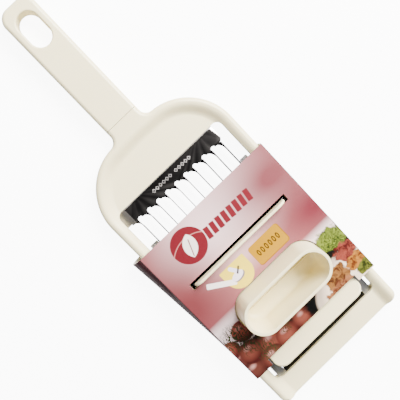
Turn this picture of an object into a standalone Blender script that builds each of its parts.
"""Hand-held mandoline slicer: an ivory plastic paddle with ten upright steel blades in its window.

A pusher with a finger cup slides along two steel rails beside the blades, and a printed card sleeve
rides round the frame with the pusher. Metres, +Z up, +Y towards the handle, lying on its underside.
"""

import math

import bmesh
import bpy
from mathutils import Matrix, Vector

# Overall sizes
FRAME_HALF_WIDTH = 0.055
FRAME_LENGTH = 0.2213
HANDLE_LENGTH = 0.0999
FOOT_Y = -0.1606

# Frame outline
FOOT_RADIUS = 0.0055
SHOULDER_TO_SEAM = 0.0117
SHOULDER_TILT = math.radians(3.8)
SHOULDER_RADIUS = 0.039
NECK_HALF_WIDTH = 0.013
NECK_FILLET = 0.006

# Frame section
FRAME_TOP = 0.014
TOP_EDGE_RADIUS = 0.003
WALL = 0.0025
RIM_CREST = 0.005
RIM_COVE = 0.0044
BED_TOP = 0.0095
BED_THICKNESS = 0.0025
BED_CROWN_RADIUS = 0.020
SKIRT_LIFT = 0.0015
NECK_PAD_LENGTH = 0.004

# Window
WINDOW_MARGIN = 0.0078
WINDOW_TO_SHOULDER = 0.032
FOOT_BED_LENGTH = 0.0176
WINDOW_RADIUS = 0.005

# Handle, and the tongue of the frame inside it
HANDLE_CORNER_RADIUS = 0.0085
HANDLE_EDGE_RADIUS = 0.003
HANG_HOLE_SIDE = 0.0048
HANG_HOLE_LENGTH = 0.0256
HANG_HOLE_FROM_TIP = 0.0083
TONGUE_SIDE = 0.006
TONGUE_LENGTH = 0.027
TONGUE_THICKNESS = 0.006

# Fit
GAP = 0.0003
SLIDING_GAP = 0.0003

# Steel comb
STEEL_THICKNESS = 0.0008
STRIP_DEPTH = 0.0125
STRIP_UNDER_BED = 0.009
STRIP_RIGHT_GAP = 0.0066
STRIP_CORNER_RADIUS = 0.003
WEB_WIDTH = 0.0068
WEB_STEP = 0.001
BLADE_COUNT = 10
BLADE_THICKNESS = 0.00065
BLADE_DEPTH = 0.005
RAIL_WIDTH = 0.0062
RAIL_TO_STRIP = 0.0182
HOOK_SLOT = 0.0019
TAIL_UNDER_BED = 0.007

# Clamp bars and screws
CLAMP_THICKNESS = 0.0025
CLAMP_WIDTH = 0.0075
CLAMP_INSET = 0.0005
CLAMP_END_MARGIN = 0.0045
CLAMP_SCREW_FROM_END = 0.019
SCREW_SHANK_RADIUS = 0.0013
SCREW_HEAD_RADIUS = 0.0028
SCREW_HEAD_HEIGHT = 0.0012
SCREW_GRIP = 0.0014
HANDLE_SCREW_RADIUS = 0.0015
HANDLE_SCREW_SPACING = 0.012
HANDLE_SCREW_FROM_SEAM = 0.009
HANDLE_SCREW_RECESS = 0.0022
HANDLE_SCREW_COVER = 0.0018

# Pusher
SLED_TO_WINDOW_END = 0.020
SLED_LENGTH = 0.0722
SLED_PLATE = 0.0025
SLED_EDGE_RADIUS = 0.003
RUNNER_BLADE_GAP = 0.0007
HOOK_LENGTH = 0.045
HOOK_FROM_REAR = 0.003
HOOK_FOOT_WIDTH = 0.0052
HOOK_THICKNESS = 0.0017
RIDGE_SIDE_MARGIN = 0.0059
RIDGE_THICKNESS = 0.002
RIDGE_OVER_CARD = 0.0055
RIDGE_CORNER_RADIUS = 0.006
LIP_SIDE_MARGIN = 0.0069
LIP_THICKNESS = 0.002
LIP_LENGTH = 0.0205
LIP_LEAN = math.radians(38.7)
LIP_CORNER_RADIUS = 0.008
LIP_ROOT = 0.0015
CUP_FROM_SLED_REAR = 0.0307
CUP_HALF_LENGTH = 0.0345
CUP_HALF_WIDTH = 0.013
CUP_OVER_CARD = 0.0235
CUP_WALL = 0.002
CUP_FLOOR = 0.0025
CUP_FLARE = 0.002
CUP_INNER_TAPER = 0.001

# Card sleeve
CARD_THICKNESS = 0.0005
CARD_TO_WINDOW_END = 0.014
CARD_LENGTH = 0.115
CARD_OVER_RIM = 0.0065
CARD_BOTTOM = 0.0003
CARD_SIDE_GAP = 0.0004
CARD_FOLD_RADIUS = 0.0012
SLIT_AHEAD = 0.0014
SLIT_BEHIND = 0.001
SLIT_END_GAP = 0.002
CUT_OUT_GAP = 0.0009
NOTCH_DEPTH = 0.0048
NOTCH_END_GAP = 0.0012

# Modelling
ARC_STEP = math.radians(15)
ARC_TOLERANCE = 0.00005
SAME_POINT = 0.0001
CUT_PAST = 0.004

# Places along the frame that follow from the sizes above
SEAM_Y = FOOT_Y + FRAME_LENGTH
HANDLE_TIP_Y = SEAM_Y + HANDLE_LENGTH
SHOULDER_Y = SEAM_Y - SHOULDER_TO_SEAM
WINDOW_FRONT_Y = SHOULDER_Y - WINDOW_TO_SHOULDER
WINDOW_REAR_Y = FOOT_Y + FOOT_BED_LENGTH
STRIP_LOWER_Y = WINDOW_FRONT_Y - STRIP_DEPTH
STRIP_REAR_EDGE_Y = WINDOW_FRONT_Y + STRIP_UNDER_BED
RAIL_FRONT_Y = STRIP_LOWER_Y - RAIL_TO_STRIP
BLADE_REAR_Y = WINDOW_REAR_Y + GAP
TAIL_REAR_Y = WINDOW_REAR_Y - TAIL_UNDER_BED
FRONT_CLAMP_Y = WINDOW_FRONT_Y + CLAMP_INSET + CLAMP_WIDTH / 2
REAR_CLAMP_Y = WINDOW_REAR_Y - CLAMP_INSET - CLAMP_WIDTH / 2
SLED_REAR_Y = WINDOW_REAR_Y + SLED_TO_WINDOW_END
SLED_FRONT_Y = SLED_REAR_Y + SLED_LENGTH
CUP_CENTRE_Y = SLED_REAR_Y + CUP_FROM_SLED_REAR
CARD_REAR_Y = WINDOW_REAR_Y + CARD_TO_WINDOW_END
CARD_FRONT_Y = CARD_REAR_Y + CARD_LENGTH

# Places across the frame
WINDOW_HALF_WIDTH = FRAME_HALF_WIDTH - WINDOW_MARGIN
STRIP_RIGHT_X = WINDOW_HALF_WIDTH - STRIP_RIGHT_GAP
WEB_INNER_X = WINDOW_HALF_WIDTH - WEB_WIDTH
RAIL_OUTER_X = WINDOW_HALF_WIDTH - HOOK_SLOT
RAIL_INNER_X = RAIL_OUTER_X - RAIL_WIDTH
OUTER_BLADE_FACE = RAIL_INNER_X - GAP
BLADE_PITCH = (2 * OUTER_BLADE_FACE - BLADE_THICKNESS) / (BLADE_COUNT - 1)
CLAMP_HALF_LENGTH = WINDOW_HALF_WIDTH + CLAMP_END_MARGIN - WALL
CLAMP_SCREW_X = CLAMP_HALF_LENGTH - CLAMP_SCREW_FROM_END
SLED_HALF_WIDTH = WINDOW_HALF_WIDTH - SLIDING_GAP
RIDGE_HALF_WIDTH = SLED_HALF_WIDTH - RIDGE_SIDE_MARGIN
LIP_HALF_WIDTH = SLED_HALF_WIDTH - LIP_SIDE_MARGIN
CARD_HALF_WIDTH = FRAME_HALF_WIDTH + CARD_SIDE_GAP + CARD_THICKNESS
HANG_HOLE_HALF_WIDTH = NECK_HALF_WIDTH - HANG_HOLE_SIDE
TONGUE_HALF_WIDTH = NECK_HALF_WIDTH - TONGUE_SIDE

# Levels
BED_UNDERSIDE = BED_TOP - BED_THICKNESS
STEEL_TOP = BED_UNDERSIDE - GAP
STEEL_BOTTOM = STEEL_TOP - STEEL_THICKNESS
BLADE_BOTTOM = (STEEL_TOP + STEEL_BOTTOM - BLADE_DEPTH) / 2
BLADE_TOP = BLADE_BOTTOM + BLADE_DEPTH
CLAMP_TOP = STEEL_BOTTOM - GAP
CLAMP_BOTTOM = CLAMP_TOP - CLAMP_THICKNESS
TONGUE_BOTTOM = (FRAME_TOP - TONGUE_THICKNESS) / 2
TONGUE_TOP = TONGUE_BOTTOM + TONGUE_THICKNESS
HANDLE_SCREW_TOP = FRAME_TOP - HANDLE_SCREW_COVER
RUNNER_BOTTOM = STEEL_TOP + SLIDING_GAP
PLATE_BOTTOM = BLADE_TOP + SLIDING_GAP
PLATE_TOP = PLATE_BOTTOM + SLED_PLATE
CARD_TOP = FRAME_TOP + CARD_OVER_RIM
RIDGE_TOP = CARD_TOP + RIDGE_OVER_CARD
CUP_BOTTOM = PLATE_TOP + GAP
CUP_TOP = CARD_TOP + CUP_OVER_CARD


def new_collection(name):
    collection = bpy.data.collections.new(name)
    bpy.context.scene.collection.children.link(collection)
    return collection


def material(name, colour, roughness, metallic=0.0):
    """A plain Principled material."""
    made = bpy.data.materials.new(name)
    made.use_nodes = True
    shader = made.node_tree.nodes["Principled BSDF"]
    shader.inputs["Base Color"].default_value = (*colour, 1.0)
    shader.inputs["Roughness"].default_value = roughness
    shader.inputs["Metallic"].default_value = metallic
    return made


def rounded(corners):
    """The points of a flat outline whose corners, each (x, y, radius), are rounded by arcs."""
    points = []
    for index, (x, y, radius) in enumerate(corners):
        corner = Vector((x, y))
        if radius == 0:
            points.append(corner)
            continue
        before = Vector(corners[index - 1][:2]) - corner
        after = Vector(corners[(index + 1) % len(corners)][:2]) - corner
        half = before.angle(after) / 2
        bisector = (before.normalized() + after.normalized()).normalized()
        centre = corner + bisector * (radius / math.sin(half))
        start = corner + before.normalized() * (radius / math.tan(half)) - centre
        end = corner + after.normalized() * (radius / math.tan(half)) - centre
        turn = math.atan2(start.cross(end), start.dot(end))
        finest = 2 * math.acos(1 - ARC_TOLERANCE / radius)
        steps = max(2, math.ceil(abs(turn) / min(finest, ARC_STEP)))
        for step in range(steps + 1):
            points.append(centre + Matrix.Rotation(turn * step / steps, 2) @ start)
    apart = [point for index, point in enumerate(points) if (point - points[index - 1]).length > SAME_POINT]
    return [tuple(point) for point in apart]


def rectangle(left, right, low, high, radius=0.0):
    """A rectangle with equal corners, as an outline."""
    return rounded([(left, low, radius), (right, low, radius), (right, high, radius), (left, high, radius)])


def prism(name, outline, start, end, collection, axis="Z"):
    """A solid of an outline carried from start to end, along Z from (x, y) or along Y from (x, z)."""
    shape = bmesh.new()
    if axis == "Z":
        corners = [shape.verts.new((x, y, start)) for x, y in outline]
        travel = (0.0, 0.0, end - start)
    else:
        corners = [shape.verts.new((x, start, z)) for x, z in outline]
        travel = (0.0, end - start, 0.0)
    base = shape.faces.new(corners)
    grown = bmesh.ops.extrude_face_region(shape, geom=[base])
    moved = [item for item in grown["geom"] if isinstance(item, bmesh.types.BMVert)]
    bmesh.ops.translate(shape, verts=moved, vec=travel)
    bmesh.ops.recalc_face_normals(shape, faces=shape.faces[:])
    mesh = bpy.data.meshes.new(name)
    shape.to_mesh(mesh)
    shape.free()
    made = bpy.data.objects.new(name, mesh)
    collection.objects.link(made)
    if collection is CUTTERS:
        made.hide_render = True
        made.display_type = "WIRE"
    return made


def box(name, left, right, rear, front, low, high, collection):
    """A plain block, or a plain cutter."""
    return prism(name, rectangle(left, right, rear, front), low, high, collection)


def round_level(obj, level, radius, segments=3):
    """Round the edges of the flat end of a solid that lies at one height."""
    shape = bmesh.new()
    shape.from_mesh(obj.data)
    ring = [edge for edge in shape.edges if all(abs(vert.co.z - level) < 1e-7 for vert in edge.verts)]
    bmesh.ops.bevel(shape, geom=ring, offset=radius, segments=segments, profile=0.5, affect="EDGES")
    shape.to_mesh(obj.data)
    shape.free()


def spread_level(obj, level, centre_y, half_length, half_width, change):
    """Widen or narrow the flat end of a solid at one height by the same amount on every side."""
    for vertex in obj.data.vertices:
        if abs(vertex.co.z - level) < 1e-7:
            vertex.co.x *= (half_length + change) / half_length
            vertex.co.y = centre_y + (vertex.co.y - centre_y) * (half_width + change) / half_width


def combine(obj, other, operation):
    """Cut another shape out of a solid, or join it on."""
    modifier = obj.modifiers.new(other.name, "BOOLEAN")
    modifier.operation = operation
    modifier.solver = "EXACT"
    modifier.object = other


def cut(obj, other):
    combine(obj, other, "DIFFERENCE")


def join(obj, other):
    combine(obj, other, "UNION")


def circle(x, y, radius):
    """A round outline."""
    sides = round(2 * math.pi / ARC_STEP)
    turns = [2 * math.pi * side / sides for side in range(sides)]
    return [(x + radius * math.cos(turn), y + radius * math.sin(turn)) for turn in turns]


def round_hole(obj, name, x, y, radius, low, high):
    """Drill a solid along Z."""
    cut(obj, prism(name, circle(x, y, radius), low, high, CUTTERS))


def finish(obj, finish_material):
    obj.data.materials.append(finish_material)
    obj.data.shade_smooth()
    obj.data.set_sharp_from_angle(angle=math.radians(35))


def shoulder_y(x, inset):
    """Height of the sloping shoulder line at x, moved inwards by inset."""
    rise = (FRAME_HALF_WIDTH - abs(x)) * math.tan(SHOULDER_TILT)
    return SHOULDER_Y + rise - inset / math.cos(SHOULDER_TILT)


def paddle_outline():
    """The frame seen from above, with its neck running on past the seam."""
    side = FRAME_HALF_WIDTH
    neck = NECK_HALF_WIDTH
    end = SEAM_Y + CUT_PAST
    right = [
        (side, FOOT_Y, FOOT_RADIUS),
        (side, shoulder_y(side, 0), SHOULDER_RADIUS),
        (neck, shoulder_y(neck, 0), NECK_FILLET),
        (neck, end, 0),
    ]
    return rounded(right + [(-x, y, radius) for x, y, radius in reversed(right)])


def inner_outline(inset, foot_y):
    """The inside of the frame, parallel to its sides and shoulders and closed across the neck."""
    side = FRAME_HALF_WIDTH - inset
    right = [(side, foot_y, 0), (side, shoulder_y(side, inset), SHOULDER_RADIUS - inset)]
    crown = [(0, shoulder_y(0, inset), BED_CROWN_RADIUS)]
    return rounded(right + crown + [(-x, y, radius) for x, y, radius in reversed(right)])


def make_frame():
    """Moulded tray: rim, recessed bed, window, hollow underside and the tongue for the handle."""
    frame = prism("frame", paddle_outline(), 0, FRAME_TOP, PARTS)
    round_level(frame, FRAME_TOP, TOP_EDGE_RADIUS)
    neck_end = box("neck_end", -FRAME_HALF_WIDTH, FRAME_HALF_WIDTH, SEAM_Y, SEAM_Y + 2 * CUT_PAST,
                   -CUT_PAST, FRAME_TOP + CUT_PAST, CUTTERS)
    cut(frame, neck_end)
    recess = prism("recess", inner_outline(RIM_CREST, FOOT_Y - 2 * CUT_PAST), BED_TOP,
                   FRAME_TOP + CUT_PAST, CUTTERS)
    round_level(recess, BED_TOP, RIM_COVE, segments=4)
    cut(frame, recess)
    hollow = prism("hollow", inner_outline(WALL, FOOT_Y + WALL), -CUT_PAST, BED_UNDERSIDE, CUTTERS)
    cut(frame, hollow)
    window = prism("window", rectangle(-WINDOW_HALF_WIDTH, WINDOW_HALF_WIDTH, WINDOW_REAR_Y,
                                       WINDOW_FRONT_Y, WINDOW_RADIUS),
                   -CUT_PAST, FRAME_TOP + CUT_PAST, CUTTERS)
    cut(frame, window)
    lift = box("skirt_lift", -FRAME_HALF_WIDTH - CUT_PAST, FRAME_HALF_WIDTH + CUT_PAST,
               WINDOW_REAR_Y, SEAM_Y - NECK_PAD_LENGTH, -CUT_PAST, SKIRT_LIFT, CUTTERS)
    cut(frame, lift)
    tongue = box("tongue", -TONGUE_HALF_WIDTH, TONGUE_HALF_WIDTH, SEAM_Y - WALL,
                 SEAM_Y + TONGUE_LENGTH, TONGUE_BOTTOM, TONGUE_TOP, CUTTERS)
    join(frame, tongue)
    for number, y in enumerate(handle_screw_places(), 1):
        round_hole(frame, f"tongue_hole_{number}", 0, y, HANDLE_SCREW_RADIUS + GAP,
                   TONGUE_BOTTOM - CUT_PAST / 2, TONGUE_TOP + CUT_PAST / 2)
    for number, (x, y) in enumerate(clamp_screw_places(), 1):
        round_hole(frame, f"bed_hole_{number}", x, y, SCREW_SHANK_RADIUS + GAP,
                   BED_UNDERSIDE - CUT_PAST / 2, BED_UNDERSIDE + SCREW_GRIP + GAP)
    finish(frame, IVORY)


def handle_screw_places():
    first = SEAM_Y + HANDLE_SCREW_FROM_SEAM
    return [first, first + HANDLE_SCREW_SPACING]


def clamp_screw_places():
    """(x, y) of the two front screws, then of the three rear ones: left rail, tail bar, right rail."""
    rail = (RAIL_INNER_X + RAIL_OUTER_X) / 2
    front = [(-CLAMP_SCREW_X, FRONT_CLAMP_Y), (CLAMP_SCREW_X, FRONT_CLAMP_Y)]
    return front + [(-rail, REAR_CLAMP_Y), (0, REAR_CLAMP_Y), (rail, REAR_CLAMP_Y)]


def make_handle():
    """Grip with a socket for the frame's tongue and a long hole to hang it by."""
    outline = rounded([
        (NECK_HALF_WIDTH, SEAM_Y - CUT_PAST, 0),
        (NECK_HALF_WIDTH, HANDLE_TIP_Y, HANDLE_CORNER_RADIUS),
        (-NECK_HALF_WIDTH, HANDLE_TIP_Y, HANDLE_CORNER_RADIUS),
        (-NECK_HALF_WIDTH, SEAM_Y - CUT_PAST, 0),
    ])
    handle = prism("handle", outline, 0, FRAME_TOP, PARTS)
    round_level(handle, FRAME_TOP, HANDLE_EDGE_RADIUS)
    round_level(handle, 0, HANDLE_EDGE_RADIUS)
    seam = box("handle_seam", -FRAME_HALF_WIDTH, FRAME_HALF_WIDTH, SEAM_Y - 2 * CUT_PAST, SEAM_Y + GAP,
               -CUT_PAST, FRAME_TOP + CUT_PAST, CUTTERS)
    cut(handle, seam)
    hole_tip = HANDLE_TIP_Y - HANG_HOLE_FROM_TIP
    hole = prism("hang_hole", rectangle(-HANG_HOLE_HALF_WIDTH, HANG_HOLE_HALF_WIDTH,
                                        hole_tip - HANG_HOLE_LENGTH, hole_tip, HANG_HOLE_HALF_WIDTH * 0.999),
                 -CUT_PAST, FRAME_TOP + CUT_PAST, CUTTERS)
    cut(handle, hole)
    socket = box("socket", -TONGUE_HALF_WIDTH - GAP, TONGUE_HALF_WIDTH + GAP, SEAM_Y - CUT_PAST,
                 SEAM_Y + TONGUE_LENGTH + GAP, TONGUE_BOTTOM - GAP, TONGUE_TOP + GAP, CUTTERS)
    cut(handle, socket)
    for number, y in enumerate(handle_screw_places(), 1):
        round_hole(handle, f"handle_hole_{number}", 0, y, HANDLE_SCREW_RADIUS + GAP,
                   -CUT_PAST, HANDLE_SCREW_TOP + GAP)
        round_hole(handle, f"handle_counterbore_{number}", 0, y, SCREW_HEAD_RADIUS + GAP,
                   -CUT_PAST, HANDLE_SCREW_RECESS)
    finish(handle, IVORY)


def make_screw(name, x, y, radius, seat, tip):
    """Pan-head screw driven from below, with a cross recess in its head."""
    screw = prism(name, circle(x, y, SCREW_HEAD_RADIUS), seat - SCREW_HEAD_HEIGHT, seat, PARTS)
    shank = circle(x, y, radius)
    join(screw, prism(f"{name}_shank", shank, seat - SCREW_HEAD_HEIGHT / 2, tip, CUTTERS))
    arm = SCREW_HEAD_RADIUS / 2
    slot = SCREW_HEAD_RADIUS / 7
    low = seat - SCREW_HEAD_HEIGHT - CUT_PAST
    high = seat - SCREW_HEAD_HEIGHT / 2
    cut(screw, box(f"{name}_slot_x", x - arm, x + arm, y - slot, y + slot, low, high, CUTTERS))
    cut(screw, box(f"{name}_slot_y", x - slot, x + slot, y - arm, y + arm, low, high, CUTTERS))
    finish(screw, STEEL)


def make_strip():
    """Polished strip across the window: the plain end of the comb, with a web to the left edge."""
    left = -WINDOW_HALF_WIDTH - CLAMP_END_MARGIN / 2
    strip = prism("blade_strip", rounded([
        (left, STRIP_REAR_EDGE_Y, 0),
        (left, STRIP_LOWER_Y + WEB_STEP, 0),
        (-WEB_INNER_X, STRIP_LOWER_Y + WEB_STEP, 0),
        (-WEB_INNER_X, STRIP_LOWER_Y, 0),
        (STRIP_RIGHT_X, STRIP_LOWER_Y, STRIP_CORNER_RADIUS),
        (STRIP_RIGHT_X, STRIP_REAR_EDGE_Y, 0),
    ]), STEEL_BOTTOM, STEEL_TOP, PARTS)
    for number, (x, y) in enumerate(clamp_screw_places()[:2], 1):
        round_hole(strip, f"strip_hole_{number}", x, y, SCREW_SHANK_RADIUS + GAP,
                   STEEL_BOTTOM - CUT_PAST, STEEL_TOP + CUT_PAST)
    finish(strip, POLISHED_STEEL)


def make_blades():
    """Ten thin blades standing on edge, from the strip to the far end of the window."""
    for number in range(BLADE_COUNT):
        middle = (number - (BLADE_COUNT - 1) / 2) * BLADE_PITCH
        blade = box(f"blade_{number + 1:02d}", middle - BLADE_THICKNESS / 2, middle + BLADE_THICKNESS / 2,
                    BLADE_REAR_Y, STRIP_LOWER_Y - GAP, BLADE_BOTTOM, BLADE_TOP, PARTS)
        finish(blade, POLISHED_STEEL)


def make_rails():
    """Steel rails beside the blades that the pusher runs on, and the bar that ties the blades' ends."""
    screws = clamp_screw_places()
    for name, side, place in (("rail_left", -1, screws[2]), ("rail_right", 1, screws[4])):
        edges = sorted((side * RAIL_INNER_X, side * RAIL_OUTER_X))
        rail = box(name, *edges, TAIL_REAR_Y, RAIL_FRONT_Y, STEEL_BOTTOM, STEEL_TOP, PARTS)
        round_hole(rail, f"{name}_hole", *place, SCREW_SHANK_RADIUS + GAP,
                   STEEL_BOTTOM - CUT_PAST, STEEL_TOP + CUT_PAST)
        finish(rail, STEEL)
    half = RAIL_INNER_X - GAP
    tail = box("blade_tail_bar", -half, half, TAIL_REAR_Y, WINDOW_REAR_Y, STEEL_BOTTOM, STEEL_TOP, PARTS)
    round_hole(tail, "tail_hole", *screws[3], SCREW_SHANK_RADIUS + GAP,
               STEEL_BOTTOM - CUT_PAST, STEEL_TOP + CUT_PAST)
    finish(tail, STEEL)


def make_clamps():
    """Bars under the bed that clamp the comb's two ends, with their screws."""
    places = clamp_screw_places()
    half = CLAMP_HALF_LENGTH
    for name, middle, own in (("clamp_bar_front", FRONT_CLAMP_Y, places[:2]),
                              ("clamp_bar_rear", REAR_CLAMP_Y, places[2:])):
        bar = prism(name, rectangle(-half, half, middle - CLAMP_WIDTH / 2, middle + CLAMP_WIDTH / 2,
                                    CLAMP_WIDTH / 4), CLAMP_BOTTOM, CLAMP_TOP, PARTS)
        for number, (x, y) in enumerate(own, 1):
            round_hole(bar, f"{name}_hole_{number}", x, y, SCREW_SHANK_RADIUS + GAP,
                       CLAMP_BOTTOM - CUT_PAST, CLAMP_TOP + CUT_PAST)
        finish(bar, IVORY)
    for number, (x, y) in enumerate(places, 1):
        make_screw(f"clamp_screw_{number}", x, y, SCREW_SHANK_RADIUS, CLAMP_BOTTOM - GAP,
                   BED_UNDERSIDE + SCREW_GRIP)


def make_sled():
    """Pusher's sled: plate over the blades, runners, hooks under the rails, front ridge and rear lip."""
    sled = prism("pusher_sled", rectangle(-SLED_HALF_WIDTH, SLED_HALF_WIDTH, SLED_REAR_Y, SLED_FRONT_Y,
                                          SLED_EDGE_RADIUS), RUNNER_BOTTOM, PLATE_TOP, PARTS)
    inner = OUTER_BLADE_FACE + RUNNER_BLADE_GAP
    cut(sled, box("blade_clearance", -inner, inner, SLED_REAR_Y - CUT_PAST, SLED_FRONT_Y + CUT_PAST,
                  RUNNER_BOTTOM - CUT_PAST, PLATE_BOTTOM, CUTTERS))
    hook_top = STEEL_BOTTOM - SLIDING_GAP
    hook_rear = SLED_REAR_Y + HOOK_FROM_REAR
    for name, side in (("hook_left", -1), ("hook_right", 1)):
        outer = SLED_HALF_WIDTH - GAP
        stem = RAIL_OUTER_X + SLIDING_GAP
        profile = [(side * x, z) for x, z in (
            (outer, hook_top - HOOK_THICKNESS), (outer, PLATE_BOTTOM), (stem, PLATE_BOTTOM),
            (stem, hook_top), (outer - HOOK_FOOT_WIDTH, hook_top),
            (outer - HOOK_FOOT_WIDTH, hook_top - HOOK_THICKNESS))]
        join(sled, prism(name, profile, hook_rear, hook_rear + HOOK_LENGTH, CUTTERS, axis="Y"))
    ridge = [(-RIDGE_HALF_WIDTH, PLATE_BOTTOM + GAP, 0), (RIDGE_HALF_WIDTH, PLATE_BOTTOM + GAP, 0),
             (RIDGE_HALF_WIDTH, RIDGE_TOP, RIDGE_CORNER_RADIUS),
             (-RIDGE_HALF_WIDTH, RIDGE_TOP, RIDGE_CORNER_RADIUS)]
    join(sled, prism("ridge", rounded(ridge), SLED_FRONT_Y - RIDGE_THICKNESS, SLED_FRONT_Y - GAP / 2,
                     CUTTERS, axis="Y"))
    lip = [(-LIP_HALF_WIDTH, 0, 0), (LIP_HALF_WIDTH, 0, 0),
           (LIP_HALF_WIDTH, LIP_LENGTH, LIP_CORNER_RADIUS),
           (-LIP_HALF_WIDTH, LIP_LENGTH, LIP_CORNER_RADIUS)]
    plate = prism("lip", rounded(lip), -LIP_THICKNESS, 0, CUTTERS, axis="Y")
    plate.data.transform(Matrix.Translation(lip_foot()) @ Matrix.Rotation(LIP_LEAN, 4, "X"))
    join(sled, plate)
    finish(sled, IVORY)


def lip_foot():
    """Where the front face of the rear lip starts, inside the sled's plate."""
    lowest = PLATE_BOTTOM + GAP
    return Vector((0, SLED_REAR_Y + LIP_ROOT, lowest + LIP_THICKNESS * math.sin(LIP_LEAN)))


def stadium(half_length, half_width):
    """A cup outline: two straight sides and two half-round ends, about the cup's centre."""
    return rectangle(-half_length, half_length, CUP_CENTRE_Y - half_width, CUP_CENTRE_Y + half_width,
                     half_width * 0.999)


def make_grip():
    """Open finger cup that stands on the sled."""
    grip = prism("pusher_grip", stadium(CUP_HALF_LENGTH, CUP_HALF_WIDTH), CUP_BOTTOM, CUP_TOP, PARTS)
    spread_level(grip, CUP_BOTTOM, CUP_CENTRE_Y, CUP_HALF_LENGTH, CUP_HALF_WIDTH, CUP_FLARE)
    half_length = CUP_HALF_LENGTH - CUP_WALL
    half_width = CUP_HALF_WIDTH - CUP_WALL
    floor = CUP_BOTTOM + CUP_FLOOR
    inside = prism("cup_inside", stadium(half_length, half_width), floor, CUP_TOP + CUT_PAST, CUTTERS)
    spread_level(inside, floor, CUP_CENTRE_Y, half_length, half_width, -CUP_INNER_TAPER)
    cut(grip, inside)
    finish(grip, IVORY)


def make_sleeve():
    """Folded card tube round the frame, slit for the ridge and cut out for the cup and the lip."""
    low = CARD_BOTTOM
    sleeve = prism("card_sleeve", rectangle(-CARD_HALF_WIDTH, CARD_HALF_WIDTH, low, CARD_TOP,
                                            CARD_FOLD_RADIUS), CARD_REAR_Y, CARD_FRONT_Y, PARTS, axis="Y")
    half = CARD_HALF_WIDTH - CARD_THICKNESS
    inside = prism("card_inside", rectangle(-half, half, low + CARD_THICKNESS, CARD_TOP - CARD_THICKNESS,
                                            CARD_FOLD_RADIUS - CARD_THICKNESS),
                   CARD_REAR_Y - CUT_PAST, CARD_FRONT_Y + CUT_PAST, CUTTERS, axis="Y")
    cut(sleeve, inside)
    slit_end = RIDGE_HALF_WIDTH + SLIT_END_GAP
    middle = (CARD_TOP + PLATE_TOP) / 2
    above = CARD_TOP + CUT_PAST
    cut(sleeve, box("slit", -slit_end, slit_end, SLED_FRONT_Y - RIDGE_THICKNESS - SLIT_BEHIND,
                    SLED_FRONT_Y + SLIT_AHEAD, middle, above, CUTTERS))
    drop = (CUP_TOP - CARD_TOP + CARD_THICKNESS) / (CUP_TOP - CUP_BOTTOM)
    loose = CUP_FLARE * drop + CUT_OUT_GAP
    cut(sleeve, prism("cup_cut_out", stadium(CUP_HALF_LENGTH + loose, CUP_HALF_WIDTH + loose),
                      middle, above, CUTTERS))
    notch = LIP_HALF_WIDTH + NOTCH_END_GAP
    cut(sleeve, box("lip_notch", -notch, notch, CARD_REAR_Y - CUT_PAST, CARD_REAR_Y + NOTCH_DEPTH,
                    middle, above, CUTTERS))
    finish(sleeve, PRINTED_CARD)


for old in list(bpy.data.objects):
    bpy.data.objects.remove(old, do_unlink=True)

PARTS = new_collection("mandoline_slicer")
CUTTERS = new_collection("cutters")
CUTTERS.hide_render = True

IVORY = material("ivory_plastic", (0.83, 0.79, 0.69), 0.35)
POLISHED_STEEL = material("polished_steel", (0.60, 0.60, 0.61), 0.12, 1.0)
STEEL = material("plain_steel", (0.55, 0.55, 0.57), 0.30, 1.0)
PRINTED_CARD = material("printed_card", (0.62, 0.29, 0.33), 0.45)

make_frame()
make_handle()
for number, y in enumerate(handle_screw_places(), 1):
    make_screw(f"handle_screw_{number}", 0, y, HANDLE_SCREW_RADIUS, HANDLE_SCREW_RECESS - GAP,
               HANDLE_SCREW_TOP)
make_strip()
make_blades()
make_rails()
make_clamps()
make_sled()
make_grip()
make_sleeve()
